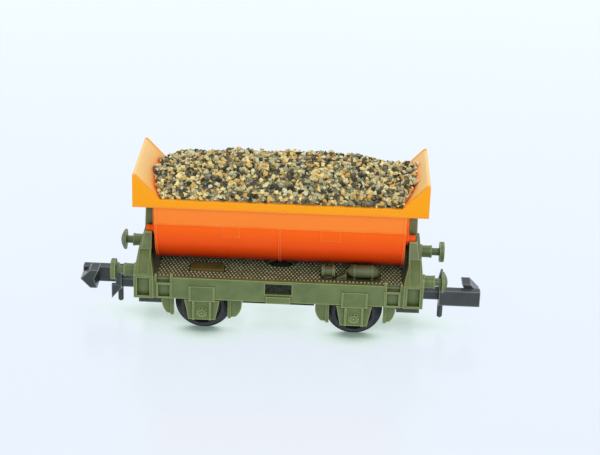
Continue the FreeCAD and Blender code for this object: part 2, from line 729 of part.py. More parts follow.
def make_coupler():
    """Hook coupler of the +X end: tail, shank, side arm, arrow hook, pin and catches."""
    tail_half = [
        (SWING_X - 0.05, SHANK_Y),
        (SWING_X - 0.4, TAIL_Y),
        (TAIL_X, TAIL_Y),
    ]
    tail = plan_prism(tail_half + [(x, -y) for x, y in reversed(tail_half)], TAIL_Z)
    neck = box((TAIL_X, SHANK_X + 0.1), (-SHANK_Y, SHANK_Y), (NECK_Z, TAIL_Z[1]))
    shank = box((SHANK_X, HEAD_X + 0.2), (-SHANK_Y, SHANK_Y), (NECK_Z, SHANK_TOP_Z))
    bar = box((HEAD_X, HEAD_X + HEAD_BAR), HEAD_Y, HEAD_Z)
    arm = box((HEAD_X, ARM_END_X), (HEAD_Y[0], ARM_Y), HEAD_Z)
    hook = side_prism(
        [
            (HOOK_TIP_X, HOOK_TIP_Z),
            (28.87, HOOK_TOP_Z),
            (27.55, HOOK_TOP_Z),
            (28.3, HOOK_TIP_Z),
            (27.85, HEAD_Z[0] + 0.05),
            (28.9, HEAD_Z[0] + 0.05),
        ],
        (ARM_Y - 0.02, HEAD_Y[1]),
    )
    pin = rod(Z_AXIS, V(PIN_X, PIN_Y, PIN_Z), PIN_R, HEAD_Z[0] + 1 - PIN_Z)
    pin_tip = Part.makeSphere(PIN_R, V(PIN_X, PIN_Y, PIN_Z + 0.12))
    fin = side_prism([(25.6, 5.2), (25.6, 2.9), (24.1, 4.7), (24.1, 5.2)], (1.0, 1.6))
    spike = side_prism([(24.0, 6.8), (24.9, 6.8), (24.7, 8.65), (24.4, 8.65)], (0.9, 1.5))
    return join([tail, neck, shank, bar, arm, hook, pin, pin_tip, fin, spike])


# ---- Assembly -------------------------------------------------------------------------


def moved(shape, x, y):
    placed = shape.copy()
    placed.translate(V(x, y, 0))
    return placed


def build_nodes():
    nodes = {
        "floor_pan": make_floor_pan(),
        "deck_plate": make_deck_plate(),
        "ballast_weight": make_ballast(),
        "air_reservoir": make_reservoir(),
        "brake_cylinder": make_brake_cylinder(),
        "release_valve": make_valve(),
        "deck_locker": make_locker(),
        "tub": make_tub(),
        "gravel_load": make_gravel(),
    }
    side_frame = make_side_frame()
    guard = make_axle_guard()
    wheel = make_wheel()
    inner_block = make_brake_block(BLOCK_IN_X, BLOCK_IN_Z, 1)
    outer_block = make_brake_block(BLOCK_OUT_X, BLOCK_OUT_Z, -1)
    sides = (("front", flip_y), ("rear", lambda shape: shape))
    for side_name, to_side in sides:
        nodes["side_frame_" + side_name] = to_side(side_frame)
        for end_name, end in (("a", -1), ("b", 1)):
            tag = side_name + "_" + end_name
            nodes["axle_guard_" + tag] = moved(to_side(guard), end * AXLE_X, 0)
            nodes["wheel_" + tag] = moved(to_side(wheel), end * AXLE_X, 0)
            for kind, block in (("inner", inner_block), ("outer", outer_block)):
                placed = to_side(block)
                nodes["brake_block_" + kind + "_" + tag] = placed if end > 0 else flip_x(placed)

    buffer_flat = make_buffer(False)
    buffer_domed = make_buffer(True)
    nodes["buffer_domed_front_b"] = moved(buffer_domed, 0, -BUFFER_Y)
    nodes["buffer_flat_rear_b"] = moved(buffer_flat, 0, BUFFER_Y)
    nodes["buffer_flat_front_a"] = half_turn(nodes["buffer_flat_rear_b"])
    nodes["buffer_domed_rear_a"] = half_turn(nodes["buffer_domed_front_b"])

    end_parts = {
        "end_stand": make_end_stand(),
        "coupler_pocket": make_coupler_pocket(),
        "pocket_cover": make_pocket_cover(),
        "coupler_spring": make_coupler_spring(),
        "coupler": make_coupler(),
    }
    for name, shape in end_parts.items():
        nodes[name + "_b"] = shape
        nodes[name + "_a"] = half_turn(shape)
    axle = make_axle()
    nodes["axle_a"] = moved(axle, -AXLE_X, 0)
    nodes["axle_b"] = moved(axle, AXLE_X, 0)
    return nodes


os.makedirs("parts", exist_ok=True)
for node_name, node_shape in build_nodes().items():
    node_shape.exportStep("parts/" + node_name + ".step")
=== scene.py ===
import json
import math
import random

import bmesh
import bpy
from mathutils import Matrix, Vector, noise


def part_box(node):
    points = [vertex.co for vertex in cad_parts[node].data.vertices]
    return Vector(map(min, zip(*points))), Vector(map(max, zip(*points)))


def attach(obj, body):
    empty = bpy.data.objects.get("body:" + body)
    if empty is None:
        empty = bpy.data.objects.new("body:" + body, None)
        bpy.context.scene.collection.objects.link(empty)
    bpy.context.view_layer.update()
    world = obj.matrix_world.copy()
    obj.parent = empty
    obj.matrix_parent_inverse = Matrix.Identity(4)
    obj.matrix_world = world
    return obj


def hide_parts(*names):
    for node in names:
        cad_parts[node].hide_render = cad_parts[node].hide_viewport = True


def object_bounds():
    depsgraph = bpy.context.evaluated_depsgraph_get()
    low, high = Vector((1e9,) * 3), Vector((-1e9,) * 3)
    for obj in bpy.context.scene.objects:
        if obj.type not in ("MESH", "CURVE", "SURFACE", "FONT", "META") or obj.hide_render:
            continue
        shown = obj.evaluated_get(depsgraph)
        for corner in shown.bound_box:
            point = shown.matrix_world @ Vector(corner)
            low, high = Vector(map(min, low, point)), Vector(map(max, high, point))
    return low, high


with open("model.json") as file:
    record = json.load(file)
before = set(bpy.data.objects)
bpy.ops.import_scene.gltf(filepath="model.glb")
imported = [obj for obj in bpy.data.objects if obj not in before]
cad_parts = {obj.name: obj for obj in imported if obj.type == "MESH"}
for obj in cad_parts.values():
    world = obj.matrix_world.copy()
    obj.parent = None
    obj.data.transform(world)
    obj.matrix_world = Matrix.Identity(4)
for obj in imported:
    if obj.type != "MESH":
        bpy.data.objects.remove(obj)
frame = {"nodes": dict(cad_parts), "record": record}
cad_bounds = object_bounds()

MM = 0.001
rng = random.Random(1607)


def mm_box(node):
    """Lowest and highest corner of a CAD node, in millimetres."""
    low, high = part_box(node)
    return low / MM, high / MM


TUB_LOW, TUB_HIGH = mm_box("tub")
DECK_HIGH = mm_box("deck_plate")[1]
LOAD_HIGH = mm_box("gravel_load")[1]

# The deck's top, the height of its raised dots, and the top of the tub's rim
DECK_TOP = DECK_HIGH.z
DOT_RISE = 0.13
RIM_TOP = 22.0


# ---- Materials ----------------------------------------------------------------------


def linear(red, green, blue):
    """Linear colour from 0-255 display values."""
    return tuple(
        (c / 255 / 12.92) if c / 255 <= 0.04045 else ((c / 255 + 0.055) / 1.055) ** 2.4
        for c in (red, green, blue)
    ) + (1.0,)


class Surface:
    """A node material on object coordinates, with a Principled shader."""

    def __init__(self, name, roughness, **constants):
        self.mat = bpy.data.materials.new(name)
        self.mat.use_nodes = True
        self.tree = self.mat.node_tree
        self.shader = self.tree.nodes["Principled BSDF"]
        self.shader.inputs["Roughness"].default_value = roughness
        for socket, value in constants.items():
            self.shader.inputs[socket.replace("_", " ")].default_value = value
        self.coords = self.tree.nodes.new("ShaderNodeTexCoord").outputs["Object"]

    def link(self, a, b):
        self.tree.links.new(a, b)

    def noise(self, size_mm, detail=3.0, rough=0.55, stretch=None):
        """Noise whose features are about size_mm across."""
        coords = self.coords
        if stretch:
            mapping = self.tree.nodes.new("ShaderNodeMapping")
            mapping.inputs["Scale"].default_value = stretch
            self.link(coords, mapping.inputs["Vector"])
            coords = mapping.outputs["Vector"]
        node = self.tree.nodes.new("ShaderNodeTexNoise")
        node.inputs["Scale"].default_value = 1 / (size_mm * MM)
        node.inputs["Detail"].default_value = detail
        node.inputs["Roughness"].default_value = rough
        self.link(coords, node.inputs["Vector"])
        return node.outputs["Fac"]

    def ramp(self, value, stops):
        """Colour ramp through (place, colour) stops."""
        node = self.tree.nodes.new("ShaderNodeValToRGB")
        elements = node.color_ramp.elements
        while len(elements) < len(stops):
            elements.new(0.5)
        for element, (place, colour) in zip(elements, stops):
            element.position = place
            element.color = colour
        self.link(value, node.inputs["Fac"])
        return node.outputs["Color"]

    def spread(self, value, low, high, out_low, out_high):
        """Maps low..high to out_low..out_high, clamped."""
        node = self.tree.nodes.new("ShaderNodeMapRange")
        for name, number in (
            ("From Min", low),
            ("From Max", high),
            ("To Min", out_low),
            ("To Max", out_high),
        ):
            node.inputs[name].default_value = number
        self.link(value, node.inputs["Value"])
        return node.outputs["Result"]

    def mix(self, factor, a, b, blend="MIX"):
        """Colour between a and b."""
        node = self.tree.nodes.new("ShaderNodeMix")
        node.data_type = "RGBA"
        node.blend_type = blend
        sockets = [node.inputs[key] for key in ("Factor", "A", "B")]
        for socket, value in zip(sockets, (factor, a, b)):
            if isinstance(value, (float, int, tuple)):
                socket.default_value = value
            else:
                self.link(value, socket)
        return [s for s in node.outputs if s.type == "RGBA"][0]

    def arith(self, operation, a, b=0.0):
        """A maths node on two sockets or numbers."""
        node = self.tree.nodes.new("ShaderNodeMath")
        node.operation = operation
        for socket, value in zip(node.inputs, (a, b)):
            if isinstance(value, (float, int)):
                socket.default_value = value
            else:
                self.link(value, socket)
        return node.outputs["Value"]

    def axis(self, name):
        """Object X, Y or Z in millimetres."""
        split = self.tree.nodes.new("ShaderNodeSeparateXYZ")
        self.link(self.coords, split.inputs["Vector"])
        return self.arith("MULTIPLY", split.outputs[name], 1 / MM)

    def attribute(self, name):
        node = self.tree.nodes.new("ShaderNodeAttribute")
        node.attribute_name = name
        return node.outputs["Fac"]

    def crevices(self, distance_mm, samples=6):
        """Ambient occlusion: 1 on open faces, towards 0 in corners; drives painted shade."""
        node = self.tree.nodes.new("ShaderNodeAmbientOcclusion")
        node.samples = samples
        node.inputs["Distance"].default_value = distance_mm * MM
        return node.outputs["AO"]

    def edges(self, distance_mm):
        """1 on outer edges, 0 on open faces; drives painted edge highlights."""
        node = self.tree.nodes.new("ShaderNodeAmbientOcclusion")
        node.samples = 6
        node.inside = True
        node.only_local = True
        node.inputs["Distance"].default_value = distance_mm * MM
        return self.spread(node.outputs["AO"], 0.92, 0.55, 0.0, 1.0)

    def colour(self, socket):
        self.link(socket, self.shader.inputs["Base Color"])

    def rough(self, value, low, high):
        """Roughness from low to high over a noise value."""
        self.link(self.spread(value, 0.3, 0.7, low, high), self.shader.inputs["Roughness"])

    def bump(self, value, depth_mm):
        """Relief of the given depth; returns its node."""
        node = self.tree.nodes.new("ShaderNodeBump")
        node.inputs["Distance"].default_value = depth_mm * MM
        self.link(value, node.inputs["Height"])
        self.link(node.outputs["Normal"], self.shader.inputs["Normal"])
        return node


def moulded(name, dark, light, edge, roughness, cloud_mm=2.2, corner_shade=0.28, **constants):
    """Moulded plastic: cloudy tone, painted shade in the corners, painted highlights on the edges, fine
    grain in gloss and bump.
    """
    surface = Surface(name, roughness, **constants)
    cloud = surface.noise(cloud_mm, detail=4.0)
    grain = surface.noise(0.16, detail=2.0)
    tone = surface.ramp(cloud, [(0.34, dark), (0.66, light)])
    # Painted shade: the colour is darkened in corners by ambient occlusion, to a set share of its tone at
    # the darkest.
    corner = surface.spread(surface.crevices(0.9), 0.2, 0.9, corner_shade, 1.0)
    shade = surface.mix(1.0, tone, corner, "MULTIPLY")
    # Painted highlight: outer edges are paled towards the edge colour.
    edge_highlight = surface.arith("MULTIPLY", surface.edges(0.2), 0.55)
    surface.colour(surface.mix(edge_highlight, shade, edge))
    surface.rough(grain, roughness - 0.07, roughness + 0.08)
    surface.bump(grain, 0.006)
    return surface.mat


# Painted light and shade on the tub, by height. Outside: deep red at the bottom (painted shade), stepping
# up to pale yellow orange at the rim (painted light shining through the plastic). Inside the sloped end
# walls: paler towards the top (painted light shining through).
TUB_OUTER_PAINTED_LIGHT = [
    (0.0, linear(126, 20, 2)),
    (0.12, linear(186, 42, 4)),
    (0.3, linear(238, 78, 8)),
    (0.49, linear(250, 102, 12)),
    (0.52, linear(250, 132, 46)),
    (0.67, linear(250, 138, 50)),
    (0.71, linear(250, 160, 20)),
    (1.0, linear(250, 166, 24)),
]
TUB_INNER_PAINTED_LIGHT = [
    (0.66, linear(246, 96, 26)),
    (0.76, linear(246, 130, 50)),
    (0.84, linear(247, 174, 88)),
    (1.0, linear(250, 205, 130)),
]


def tub_plastic():
    """Slightly translucent orange plastic with painted light and shade: darker red towards the bottom,
    paler where the walls are thin and unbacked, redder where they are backed, pale along the edges.
    """
    surface = Surface("tub_orange", 0.36, Subsurface_Weight=0.15, Subsurface_Scale=0.0005)
    surface.shader.inputs["Subsurface Radius"].default_value = (1.0, 0.35, 0.1)
    surface.shader.inputs["Specular IOR Level"].default_value = 0.12
    low, high = TUB_LOW.z, TUB_HIGH.z
    wobble = surface.spread(surface.noise(3.0), 0.3, 0.7, -0.14, 0.14)
    level = surface.arith("ADD", surface.axis("Z"), wobble)
    place = surface.spread(level, low, high, 0.0, 1.0)
    outer = surface.ramp(place, TUB_OUTER_PAINTED_LIGHT)
    inner = surface.ramp(place, TUB_INNER_PAINTED_LIGHT)
    side = surface.arith("ABSOLUTE", surface.axis("Y"))
    inside = surface.spread(side, TUB_HIGH.y - 0.95, TUB_HIGH.y - 0.85, 1.0, 0.0)
    above = surface.spread(surface.axis("Z"), RIM_TOP - 0.1, RIM_TOP, 0.0, 1.0)
    tone = surface.mix(surface.arith("MULTIPLY", inside, above), outer, inner)
    # Painted shade: the inside of the chute above the rim turns deep red where ambient occlusion finds
    # something close behind it.
    backed_shade = surface.spread(surface.crevices(1.6), 0.35, 0.8, 0.85, 0.0)
    backed_shade = surface.arith("MULTIPLY", backed_shade, above)
    shade = surface.mix(surface.arith("MULTIPLY", backed_shade, inside), tone, linear(250, 74, 14))
    # Painted highlight: outer edges are paled towards light orange.
    edge_highlight = surface.arith("MULTIPLY", surface.edges(0.12), 0.5)
    surface.colour(surface.mix(edge_highlight, shade, linear(252, 180, 96)))
    grain = surface.noise(0.5, detail=3.0)
    surface.rough(grain, 0.3, 0.44)
    soft = surface.tree.nodes.new("ShaderNodeBevel")
    soft.samples = 4
    soft.inputs["Radius"].default_value = 0.1 * MM
    relief = surface.bump(grain, 0.003)
    surface.link(soft.outputs["Normal"], relief.inputs["Normal"])
    return surface.mat


def stone_surface(name, dark, light, grit):
    """Crushed stone: tone from each stone's own value, with grit over it."""
    surface = Surface(name, 0.75)
    own = surface.attribute("stone_tone")
    tone = surface.ramp(own, [(0.0, dark), (1.0, light)])
    speck = surface.ramp(surface.noise(0.13, detail=3.0), [(0.35, grit), (0.62, (1, 1, 1, 1))])
    surface.colour(surface.mix(0.75, tone, speck, "MULTIPLY"))
    surface.rough(surface.noise(0.3), 0.55, 0.9)
    surface.bump(surface.noise(0.12, detail=4.0), 0.03)
    return surface.mat


def worn_metal(name, dark, light, roughness, metallic):
    """Blackened or bare metal, with fine streaks in its gloss, as turning leaves them."""
    surface = Surface(name, roughness, Metallic=metallic)
    cloud = surface.noise(1.2, detail=5.0)
    surface.colour(surface.ramp(cloud, [(0.35, dark), (0.65, light)]))
    fine = surface.noise(0.12, detail=2.0, stretch=(1.0, 5.0, 1.0))
    surface.rough(fine, roughness - 0.1, roughness + 0.12)
    surface.bump(fine, 0.004)
    return surface.mat


def tread_top():
    """Raised dots of the tread plate: painted shade at the foot, painted highlight on the crown."""
    surface = Surface("tread_top", 0.42)
    rise = surface.spread(surface.axis("Z"), DECK_TOP, DECK_TOP + DOT_RISE, 0.0, 1.0)
    # Painted shade at the foot of each dot and painted highlight on its crown, by height, with random tone
    # over it.
    crown_highlight = surface.arith("ADD", rise, surface.spread(surface.noise(0.8), 0.3, 0.7, -0.2, 0.2))
    stops = [(0.2, linear(80, 80, 48)), (0.6, linear(134, 138, 98)), (1.0, linear(200, 206, 164))]
    surface.colour(surface.ramp(crown_highlight, stops))
    grain = surface.noise(0.15)
    surface.rough(grain, 0.34, 0.5)
    surface.bump(grain, 0.004)
    return surface.mat


# Moulded looks: dark and light tone, then the colour of the painted edge highlight, then roughness.
MATERIALS = {
    "frame_green": moulded(
        "frame_green", linear(86, 102, 52), linear(101, 117, 65), linear(178, 186, 112), 0.42
    ),
    "deck_green": moulded("deck_green", linear(76, 78, 46), linear(90, 92, 56), linear(140, 142, 100), 0.5),
    # Paler copy of the frame green: painted highlight on the small bolt heads.
    "lit_bolt_green": moulded(
        "lit_bolt_green", linear(134, 146, 88), linear(156, 166, 104), linear(196, 204, 136), 0.36
    ),
    # Darker copy of the frame green: painted shade on the fittings under the tub.
    "shaded_fitting_green": moulded(
        "shaded_fitting_green", linear(74, 82, 46), linear(90, 98, 58), linear(136, 144, 92), 0.46
    ),
    "locker_brown": moulded(
        "locker_brown", linear(90, 80, 38), linear(106, 94, 48), linear(134, 126, 76), 0.42
    ),
    "tub_orange": tub_plastic(),
    "ballast_black": moulded(
        "ballast_black",
        linear(6, 7, 5),
        linear(56, 58, 46),
        linear(90, 96, 72),
        0.62,
        cloud_mm=0.5,
        Specular_IOR_Level=0.2,
    ),
    "coupler_black": moulded(
        "coupler_black", linear(40, 45, 44), linear(54, 60, 59), linear(150, 160, 156), 0.24
    ),
    "tread_top": tread_top(),
    "spring_steel": worn_metal("spring_steel", linear(150, 150, 150), linear(190, 190, 190), 0.3, 1.0),
    "axle_steel": worn_metal("axle_steel", linear(120, 120, 122), linear(165, 165, 168), 0.35, 1.0),
    "wheel_black": worn_metal("wheel_black", linear(24, 27, 29), linear(46, 50, 52), 0.42, 0.2),
}

STONES = {
    "tan": stone_surface("stone_tan", linear(216, 172, 88), linear(255, 246, 180), linear(206, 180, 120)),
    "grey": stone_surface("stone_grey", linear(132, 130, 96), linear(240, 234, 190), linear(180, 172, 140)),
    "slate": stone_surface("stone_slate", linear(46, 40, 26), linear(122, 118, 92), linear(130, 120, 96)),
}

SLOT_LOOKS = {"gravel": "locker_brown"}
NODE_LOOKS = {
    "deck_plate": "deck_green",
    "air_reservoir": "shaded_fitting_green",
    "brake_cylinder": "shaded_fitting_green",
    "release_valve": "shaded_fitting_green",
}

# Edge radii of the mouldings, and the bend between faces above which an edge is rounded
EDGE_RADIUS = 0.05
WIDE_EDGES = {"coupler_a": 0.07, "coupler_b": 0.07, "end_stand_a": 0.07, "end_stand_b": 0.07}
EDGE_ANGLE = math.radians(32)


def dress_cad_nodes():
    """Gives every CAD node its material and all but the tub a small moulded edge radius."""
    for row in frame["record"]["subparts"]:
        node = frame["nodes"][row["node"]]
        look = SLOT_LOOKS.get(row["material_slot"], row["material_slot"])
        look = NODE_LOOKS.get(row["node"], look)
        for mat_slot in node.material_slots:
            mat_slot.link = "OBJECT"
            mat_slot.material = MATERIALS[look]
        if row["node"] == "tub":
            continue
        bevel = node.modifiers.new("edge_radius", "BEVEL")
        bevel.width = WIDE_EDGES.get(row["node"], EDGE_RADIUS) * MM
        bevel.segments = 2
        bevel.limit_method = "ANGLE"
        bevel.angle_limit = EDGE_ANGLE
        bevel.harden_normals = False


dress_cad_nodes()


# ---- Mesh helpers -------------------------------------------------------------------


def new_piece(name, verts, faces, look, body, smooth=False, tones=None):
    """A mesh piece from points in millimetres, riding on a CAD body."""
    mesh = bpy.data.meshes.new(name)
    mesh.from_pydata([(x * MM, y * MM, z * MM) for x, y, z in verts], [], faces)
    mesh.materials.append(look)
    mesh.polygons.foreach_set("use_smooth", [smooth] * len(mesh.polygons))
    if tones:
        layer = mesh.attributes.new("stone_tone", "FLOAT", "POINT")
        layer.data.foreach_set("value", tones)
    mesh.update()
    piece = bpy.data.objects.new(name, mesh)
    bpy.context.scene.collection.objects.link(piece)
    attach(piece, body)
    return piece


def skin_rings(base, rings, sides, faces):
    """Closes the first of several rings of points, and joins each ring to the next."""
    faces.append([base + k for k in reversed(range(sides))])
    for ring in range(rings - 1):
        for k in range(sides):
            a = base + ring * sides + k
            b = base + ring * sides + (k + 1) % sides
            faces.append([a, b, b + sides, a + sides])


# ---- Tread plate dots ---------------------------------------------------------------

# Spacing and half sizes of the dots, the bare margins of the deck, and the round well's radius
DOT_PITCH = (0.56, 0.66)
DOT_HALF = (0.19, 0.27)
DOT_SIDES = 8
DOT_MARGIN = (2.2, 0.25)
WELL_R = 2.7


def dome(centre, radius_x, radius_y, height, sides, verts, faces):
    """Adds a low closed dome standing on a level face."""
    base = len(verts)
    rings = ((1.0, -0.02), (0.94, 0.45 * height), (0.6, 0.88 * height))
    for share, rise in rings:
        for k in range(sides):
            turn = 2 * math.pi * k / sides
            verts.append(
                (
                    centre[0] + radius_x * share * math.cos(turn),
                    centre[1] + radius_y * share * math.sin(turn),
                    centre[2] + rise,
                )
            )
    verts.append((centre[0], centre[1], centre[2] + height))
    top = base + len(rings) * sides
    skin_rings(base, len(rings), sides, faces)
    last = base + (len(rings) - 1) * sides
    for k in range(sides):
        faces.append([last + k, last + (k + 1) % sides, top])


def clear_of_fittings(x, y, reach):
    """True where no deck fitting and no well is within reach of a deck point."""
    if math.hypot(x, y) < WELL_R + reach:
        return False
    for node in ("air_reservoir", "brake_cylinder", "release_valve", "deck_locker"):
        low, high = mm_box(node)
        if low.x - reach < x < high.x + reach and low.y - reach < y < high.y + reach:
            return False
    return True


def make_tread_dots():
    """Staggered rows of raised dots over the open deck."""
    pitch_x, pitch_y = DOT_PITCH
    half_x, half_y = DOT_HALF
    reach_x = DECK_HIGH.x - DOT_MARGIN[0]
    reach_y = DECK_HIGH.y - DOT_MARGIN[1]
    verts, faces = [], []
    rows = int(2 * reach_y / pitch_y)
    for row in range(rows + 1):
        y = -reach_y + row * pitch_y
        offset = (row % 2) * pitch_x / 2
        for column in range(int(2 * reach_x / pitch_x) + 1):
            x = -reach_x + offset + column * pitch_x
            if abs(x) < reach_x and clear_of_fittings(x, y, half_x):
                dome((x, y, DECK_TOP), half_x, half_y, DOT_RISE, DOT_SIDES, verts, faces)
    return new_piece(
        "tread_dots", verts, faces, MATERIALS["tread_top"], "chassis", smooth=True
    )


make_tread_dots()


# ---- Axle box lids ------------------------------------------------------------------

# Bolts on a lid, the radius of their ring, and how far the lid lies behind its boss
LID_BOLTS = 9
LID_BOLT_RING = 0.71
LID_DEPTH = 0.26

# A bolt head: (radius, distance out from the face) from its foot to its top
BOLT_PROFILE = ((0.085, -0.02), (0.085, 0.05), (0.05, 0.09))
BOLT_SIDES = 8


def lid_bolt(x, z, face_y, side, verts, faces):
    """Adds a small round bolt head standing out from an upright face at face_y."""
    base = len(verts)
    for radius, out in BOLT_PROFILE:
        for k in range(BOLT_SIDES):
            turn = side * 2 * math.pi * k / BOLT_SIDES
            verts.append(
                (x + radius * math.cos(turn), side * (face_y + out), z - radius * math.sin(turn))
            )
    skin_rings(base, len(BOLT_PROFILE), BOLT_SIDES, faces)
    last = base + (len(BOLT_PROFILE) - 1) * BOLT_SIDES
    faces.append([last + k for k in range(BOLT_SIDES)])


def make_lid_bolts():
    """A ring of bolts round every axle box boss and one on its middle."""
    verts, faces = [], []
    for end in ("a", "b"):
        for place, side in (("front", -1), ("rear", 1)):
            low, high = mm_box("axle_guard_" + place + "_" + end)
            wheel_low, wheel_high = mm_box("wheel_" + place + "_" + end)
            boss_y = max(abs(low.y), abs(high.y))
            x = (wheel_low.x + wheel_high.x) / 2
            z = (wheel_low.z + wheel_high.z) / 2
            lid_bolt(x, z, boss_y, side, verts, faces)
            for k in range(LID_BOLTS):
                turn = 2 * math.pi * k / LID_BOLTS
                spot_x = x + LID_BOLT_RING * math.cos(turn)
                spot_z = z + LID_BOLT_RING * math.sin(turn)
                lid_bolt(spot_x, spot_z, boss_y - LID_DEPTH, side, verts, faces)
    look = MATERIALS["lit_bolt_green"]
    return new_piece("lid_bolts", verts, faces, look, "chassis", smooth=True)


make_lid_bolts()


# ---- Gravel -------------------------------------------------------------------------

# The tub's inside: where the sloped end walls start, how thick they are at the top, their rise
# per unit of X, and the half width between the sides
CHUTE_FOOT = 17.5
CHUTE_EDGE = 0.4
CHUTE_RISE = (TUB_HIGH.z - RIM_TOP) / (TUB_HIGH.x - CHUTE_EDGE - CHUTE_FOOT)
HEAP_HALF_Y = 7.05

# The heap: its half length and half width, how far its ends fall, the extra dip towards -X (where
# it starts, over what length, how deep), and how far its sides lie below the rim
CROWN_REACH_X = 20.5
CROWN_REACH_Y = 7.3
END_FALL = 2.0
DIP_START = 13
DIP_LENGTH = 6
DIP_DEPTH = 1.1
SIDE_DROP = 0.15

# Low lumps in the heap: noise units per millimetre along X and Y, the slice of noise, the height
LUMPS_X = 0.23
LUMPS_Y = 0.31
LUMP_SLICE = 3.1
LUMP_HEIGHT = 0.5

# The bed under the stones: how far it lies below the heap, and its underside below the rim; its
# clearance; between which plan distances its ends are sought, and in what steps; its grid
BED_DROP = 0.75
BED_BELOW_RIM = 1.0
BED_CLEARANCE = 0.05
BED_SEARCH_START = CHUTE_FOOT - 1.0
BED_SEARCH_END = TUB_HIGH.x - 0.6
BED_SEARCH_STEP = 0.05
BED_GRID = (80, 30)

# Stones: spacing, sizes, how many shapes, and the ranges of their points, widths, heights and
# corner distances
STONE_PITCH = 0.67
STONE_RADII = (0.36, 0.45, 0.52, 0.6, 0.7)
STONE_SHAPES = 28
STONE_CORNERS = (9, 13)
STONE_WIDTHS = (0.7, 1.0)
STONE_HEIGHTS = (0.55, 0.85)
CORNER_REACH = (0.85, 1.05)

# Layers of stones: the share left out, the size, the first layer's level against the heap, the
# step to the next and its random spread
LAYER_GAPS = (0.0, 0.25, 0.6)
LAYER_SCALE = (1.0, 0.9, 0.8)
FIRST_LEVEL = -0.35
LEVEL_STEP = 0.25
LEVEL_SPREAD = (-0.1, 0.12)

# Where stones are strewn: the share of the heap's half length, the first row, the random shifts
# (in pitches along X, in millimetres along Y), and the limits at the sides
STREW_LENGTH = 1.09
FIRST_ROW = -HEAP_HALF_Y - 0.1
STREW_X = 0.35
STREW_Y = 0.2
SIDE_SLACK = 0.35
SIDE_INSET = 0.8
SIDE_LIMIT = HEAP_HALF_Y + 0.2

# How far a stone is turned about the upright and tilted, and the shares of the kinds of rock
FULL_TURN = 6.28
TILT = 0.9
KIND_SHARES = (0.38, 0.34, 0.28)

# Stones on the sloped end walls: clearance in radii, how deep in the wall a stone may lie and be
# lifted onto it, where they end, and the share left out
WALL_CLEARANCE = 1.05
WALL_CATCH = 0.5
WALL_END = TUB_HIGH.x - 0.85
WALL_GAPS = 0.35

# Step over which a slope is measured
PROBE = 0.1


def heap_height(x, y):
    """Top of the load at a plan point, in millimetres, with low lumps."""
    along = min(abs(x) / CROWN_REACH_X, 1.0)
    dip = max(0.0, (-x - DIP_START) / DIP_LENGTH)
    crown = LOAD_HIGH.z - END_FALL * along**3.2 - DIP_DEPTH * dip**1.5
    across = 1 - min(abs(y) / CROWN_REACH_Y, 1.0) ** 3.0
    edge = RIM_TOP - SIDE_DROP
    lump = noise.noise(Vector((x * LUMPS_X, y * LUMPS_Y, LUMP_SLICE))) * LUMP_HEIGHT * across
    return edge + (crown - edge) * across + lump


def wall_height(x):
    """Inner surface of the sloped end walls."""
    return RIM_TOP + CHUTE_RISE * (abs(x) - CHUTE_FOOT)


def bed_end(y, side):
    """Plan distance at which the bed meets the sloped end wall on one side."""
    x = BED_SEARCH_START
    while wall_height(x) < heap_height(side * x, y) - BED_DROP and x < BED_SEARCH_END:
        x += BED_SEARCH_STEP
    return x


def make_bed():
    """Closed bed under the loose stones: the load's surface, a little low."""
    count_x, count_y = BED_GRID
    verts, faces = [], []
    for layer in (0, 1):
        for j in range(count_y + 1):
            y = HEAP_HALF_Y * (2 * j / count_y - 1)
            left, right = -bed_end(y, -1), bed_end(y, 1)
            for i in range(count_x + 1):
                x = left + (right - left) * i / count_x
                floor = max(RIM_TOP - BED_BELOW_RIM, wall_height(x) + BED_CLEARANCE)
                top = max(heap_height(x, y) - BED_DROP, floor + BED_CLEARANCE)
                verts.append((x, y, top if layer == 0 else floor))
    row = count_x + 1
    half = row * (count_y + 1)
    for j in range(count_y):
        for i in range(count_x):
            a = j * row + i
            faces.append([a, a + 1, a + 1 + row, a + row])
            faces.append([half + a, half + a + row, half + a + 1 + row, half + a + 1])
    for i in range(count_x):
        for a, b in ((i, i + 1), (count_y * row + i + 1, count_y * row + i)):
            faces.append([a, a + half, b + half, b])
    for j in range(count_y):
        for a, b in (((j + 1) * row, j * row), (j * row + count_x, (j + 1) * row + count_x)):
            faces.append([a, a + half, b + half, b])
    tones = [0.3] * len(verts)
    look = STONES["grey"]
    bed = new_piece(
        "gravel_bed", verts, faces, look, "tub_body", smooth=True, tones=tones
    )
    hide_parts("gravel_load")
    return bed


def stone_shapes(count):
    """Angular stones of unit radius: hulls of a few random points."""
    shapes = []
    for _ in range(count):
        form = bmesh.new()
        squash = (1.0, rng.uniform(*STONE_WIDTHS), rng.uniform(*STONE_HEIGHTS))
        for _ in range(rng.randint(*STONE_CORNERS)):
            point = Vector([rng.gauss(0, 1) for _ in range(3)]).normalized()
            point *= rng.uniform(*CORNER_REACH)
            form.verts.new([point[k] * squash[k] for k in range(3)])
        hull = bmesh.ops.convex_hull(form, input=form.verts)
        loose = [e for e in hull["geom_interior"] if isinstance(e, bmesh.types.BMVert)]
        bmesh.ops.delete(form, geom=loose, context="VERTS")
        bmesh.ops.recalc_face_normals(form, faces=form.faces)
        form.verts.index_update()
        points = [v.co.copy() for v in form.verts]
        shapes.append((points, [[v.index for v in f.verts] for f in form.faces]))
        form.free()
    return shapes


def heap_rows(pitch):
    """Y places across the heap, evenly spaced along its curved surface."""
    rows = [FIRST_ROW]
    while rows[-1] < HEAP_HALF_Y:
        y = rows[-1]
        slope = (heap_height(0, y + PROBE) - heap_height(0, y)) / PROBE
        rows.append(y + pitch / math.hypot(1, slope))
    return rows


